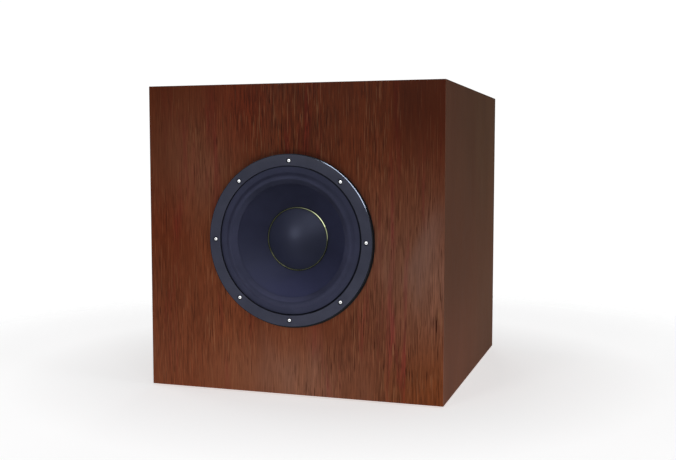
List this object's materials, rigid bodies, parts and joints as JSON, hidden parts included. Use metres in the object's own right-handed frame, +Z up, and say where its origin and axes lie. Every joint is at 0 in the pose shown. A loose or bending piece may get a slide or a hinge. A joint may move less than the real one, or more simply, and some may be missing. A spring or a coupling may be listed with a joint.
{
  "type": "subwoofer cabinet",
  "caption": "Sealed cube subwoofer cabinet: reddish-brown veneered box, flush-rimmed driver with a dark cone and a ringed dust cap, recessed rear terminals.",
  "frame": {"origin": "on the floor, under the middle of the assembly's bounding box", "axes": "+Z up; the driver faces -Y, the terminals face +Y; +X is to the right seen from the front"},
  "size_m": [0.56, 0.577, 0.5633],
  "materials": {
    "veneer": "satin lacquered reddish-brown veneer, vertical grain",
    "plywood": "bare birch plywood",
    "basket_paint": "fine satin dark slate paint on a die-cast frame",
    "surround_rubber": "smooth moulded rubber",
    "cone": "matt dark cone",
    "dust_cap": "semi-matt dark cap",
    "trim_ring": "thin yellow-green metallic line",
    "spider_cloth": "resin-treated woven cloth",
    "copper": "enamelled copper",
    "former": "thin alloy",
    "motor_steel": "black passivated turned steel",
    "ferrite": "sintered ferrite",
    "gasket": "closed-cell foam",
    "foot_rubber": "matt rubber",
    "wadding": "soft white polyester wadding",
    "bright_screw": "bright zinc plate",
    "black_screw": "black oxide",
    "cup_plastic": "fine spark-eroded moulding",
    "phenolic": "phenolic board",
    "red_plastic": "moulded",
    "black_plastic": "moulded",
    "post_brass": "gold-tone plated brass"
  },
  "bodies": {
    "cabinet": {"binding_post_neg": "post_brass", "binding_post_nut_neg": "bright_screw", "binding_post_nut_pos": "bright_screw", "binding_post_pos": "post_brass", "bottom_panel": "veneer", "driver_basket": "basket_paint", "driver_gasket": "gasket", "driver_screw_1": "bright_screw", "driver_screw_2": "bright_screw", "driver_screw_3": "bright_screw", "driver_screw_4": "bright_screw", "driver_screw_5": "bright_screw", "driver_screw_6": "bright_screw", "driver_screw_7": "bright_screw", "driver_screw_8": "bright_screw", "driver_tab_neg": "bright_screw", "driver_tab_pos": "bright_screw", "driver_terminal_block": "phenolic", "foot_front_left": "foot_rubber", "foot_front_right": "foot_rubber", "foot_rear_left": "foot_rubber", "foot_rear_right": "foot_rubber", "front_baffle": "veneer", "left_side_panel": "veneer", "magnet_front": "ferrite", "magnet_rear": "ferrite", "pole_piece_yoke": "motor_steel", "rear_panel": "veneer", "right_side_panel": "veneer", "speaker_wire_neg": "black_plastic", "speaker_wire_pos": "red_plastic", "spider": "spider_cloth", "surround": "surround_rubber", "terminal_cup": "cup_plastic", "terminal_cup_gasket": "gasket", "terminal_cup_screw_1": "black_screw", "terminal_cup_screw_2": "black_screw", "terminal_cup_screw_3": "black_screw", "terminal_cup_screw_4": "black_screw", "tinsel_lead_neg": "copper", "tinsel_lead_pos": "copper", "top_panel": "veneer", "top_plate": "motor_steel", "wadding_left": "wadding", "wadding_rear": "wadding", "wadding_right": "wadding", "window_brace": "plywood"},
    "cone_assembly": {"cone": "cone", "dust_cap": "dust_cap", "dust_cap_trim_ring": "trim_ring", "voice_coil_former": "former", "voice_coil": "copper"},
    "washer_pos": {"binding_post_washer_pos": "post_brass"},
    "cap_pos": {"binding_post_cap_pos": "red_plastic"},
    "washer_neg": {"binding_post_washer_neg": "post_brass"},
    "cap_neg": {"binding_post_cap_neg": "black_plastic"}
  },
  "joints": [
    {"name": "cone_travel", "type": "slide", "parent": "cabinet", "child": "cone_assembly", "axis": [0, 1, 0], "range_m": [-0.008, 0.008], "stiffness_N_per_m": 3200, "deforming": ["surround", "spider", "tinsel_lead_pos", "tinsel_lead_neg"]},
    {"name": "cap_pos_thread", "type": "slide", "parent": "cabinet", "child": "washer_pos", "axis": [0, 1, 0], "range_m": [0, 0.004]},
    {"name": "cap_pos_turn", "type": "hinge", "parent": "washer_pos", "child": "cap_pos", "pos_m": [0.0095, 0.2597, 0.1433], "axis": [0, 1, 0], "range_deg": [0, 1799.9]},
    {"name": "cap_neg_thread", "type": "slide", "parent": "cabinet", "child": "washer_neg", "axis": [0, 1, 0], "range_m": [0, 0.004]},
    {"name": "cap_neg_turn", "type": "hinge", "parent": "washer_neg", "child": "cap_neg", "pos_m": [-0.0095, 0.2597, 0.1433], "axis": [0, 1, 0], "range_deg": [0, 1799.9]}
  ],
  "couplings": [
    {"joint": "cap_pos_thread", "follows": "cap_pos_turn", "m_per_rad": 0.00012732},
    {"joint": "cap_neg_thread", "follows": "cap_neg_turn", "m_per_rad": 0.00012732}
  ]
}
